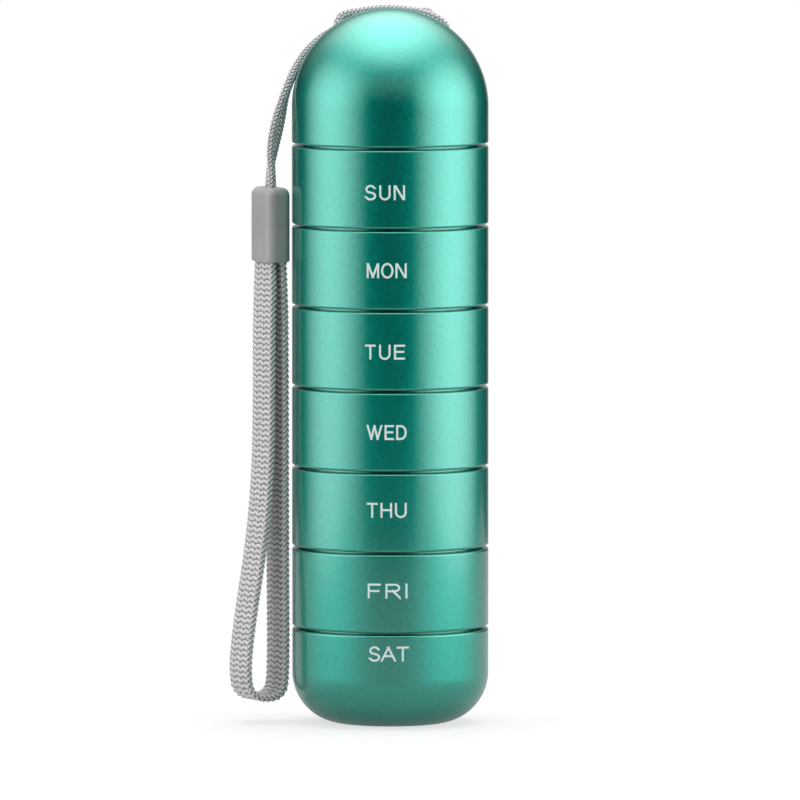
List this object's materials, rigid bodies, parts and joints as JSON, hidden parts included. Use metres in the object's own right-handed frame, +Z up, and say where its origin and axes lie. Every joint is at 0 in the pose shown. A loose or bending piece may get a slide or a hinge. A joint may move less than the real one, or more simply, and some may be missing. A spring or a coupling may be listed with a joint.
{
  "type": "weekly pill organizer",
  "caption": "Tall round capsule of stacked screw-together weekday pill cups with a rounded base, a domed cap and a wrist strap.",
  "frame": {"origin": "middle of the flat foot of the Saturday cup, on the table", "axes": "+Z up the stack, -Y the lettered front, +X to the right of the lettering"},
  "size_m": [0.0531, 0.04, 0.146],
  "materials": {
    "anodised_green": "bead-blasted and anodised, satin",
    "silicone": "matt translucent silicone",
    "liner_plastic": "moulded, fine matt",
    "cord_braid": "round braided polyester",
    "bead_plastic": "satin moulded plastic",
    "crimp_metal": "tinned",
    "band_weave": "flat woven polyester with a herringbone rib"
  },
  "bodies": {
    "saturday": {"cup_saturday": "anodised_green"},
    "friday_gasket": {"gasket_friday": "silicone"},
    "friday": {"cup_friday": "anodised_green"},
    "thursday_gasket": {"gasket_thursday": "silicone"},
    "thursday": {"cup_thursday": "anodised_green"},
    "wednesday_gasket": {"gasket_wednesday": "silicone"},
    "wednesday": {"cup_wednesday": "anodised_green"},
    "tuesday_gasket": {"gasket_tuesday": "silicone"},
    "tuesday": {"cup_tuesday": "anodised_green"},
    "monday_gasket": {"gasket_monday": "silicone"},
    "monday": {"cup_monday": "anodised_green"},
    "sunday_gasket": {"gasket_sunday": "silicone"},
    "sunday": {"cup_sunday": "anodised_green"},
    "cap_gasket": {"gasket_cap": "silicone"},
    "cap": {"dome_cap": "anodised_green", "cap_liner": "liner_plastic", "strap_cord": "cord_braid", "strap_bead": "bead_plastic", "strap_crimp": "crimp_metal", "strap_band": "band_weave"}
  },
  "joints": [
    {"name": "friday_lift", "type": "slide", "parent": "saturday", "child": "friday_gasket", "axis": [0, 0, 1], "range_m": [0, 0.0064]},
    {"name": "friday_turn", "type": "hinge", "parent": "friday_gasket", "child": "friday", "pos_m": [0, 0, 0.0199], "axis": [0, 0, 1], "range_deg": [0, 2880]},
    {"name": "thursday_lift", "type": "slide", "parent": "friday", "child": "thursday_gasket", "axis": [0, 0, 1], "range_m": [0, 0.0064]},
    {"name": "thursday_turn", "type": "hinge", "parent": "thursday_gasket", "child": "thursday", "pos_m": [0, 0, 0.0363], "axis": [0, 0, 1], "range_deg": [0, 2880]},
    {"name": "wednesday_lift", "type": "slide", "parent": "thursday", "child": "wednesday_gasket", "axis": [0, 0, 1], "range_m": [0, 0.0064]},
    {"name": "wednesday_turn", "type": "hinge", "parent": "wednesday_gasket", "child": "wednesday", "pos_m": [0, 0, 0.0527], "axis": [0, 0, 1], "range_deg": [0, 2880]},
    {"name": "tuesday_lift", "type": "slide", "parent": "wednesday", "child": "tuesday_gasket", "axis": [0, 0, 1], "range_m": [0, 0.0064]},
    {"name": "tuesday_turn", "type": "hinge", "parent": "tuesday_gasket", "child": "tuesday", "pos_m": [0, 0, 0.0691], "axis": [0, 0, 1], "range_deg": [0, 2880]},
    {"name": "monday_lift", "type": "slide", "parent": "tuesday", "child": "monday_gasket", "axis": [0, 0, 1], "range_m": [0, 0.0064]},
    {"name": "monday_turn", "type": "hinge", "parent": "monday_gasket", "child": "monday", "pos_m": [0, 0, 0.0855], "axis": [0, 0, 1], "range_deg": [0, 2880]},
    {"name": "sunday_lift", "type": "slide", "parent": "monday", "child": "sunday_gasket", "axis": [0, 0, 1], "range_m": [0, 0.0064]},
    {"name": "sunday_turn", "type": "hinge", "parent": "sunday_gasket", "child": "sunday", "pos_m": [0, 0, 0.1019], "axis": [0, 0, 1], "range_deg": [0, 2880]},
    {"name": "cap_lift", "type": "slide", "parent": "sunday", "child": "cap_gasket", "axis": [0, 0, 1], "range_m": [0, 0.0064]},
    {"name": "cap_turn", "type": "hinge", "parent": "cap_gasket", "child": "cap", "pos_m": [0, 0, 0.1183], "axis": [0, 0, 1], "range_deg": [0, 2880]}
  ],
  "couplings": [
    {"joint": "friday_lift", "follows": "friday_turn", "m_per_rad": 0.00012732},
    {"joint": "thursday_lift", "follows": "thursday_turn", "m_per_rad": 0.00012732},
    {"joint": "wednesday_lift", "follows": "wednesday_turn", "m_per_rad": 0.00012732},
    {"joint": "tuesday_lift", "follows": "tuesday_turn", "m_per_rad": 0.00012732},
    {"joint": "monday_lift", "follows": "monday_turn", "m_per_rad": 0.00012732},
    {"joint": "sunday_lift", "follows": "sunday_turn", "m_per_rad": 0.00012732},
    {"joint": "cap_lift", "follows": "cap_turn", "m_per_rad": 0.00012732}
  ]
}
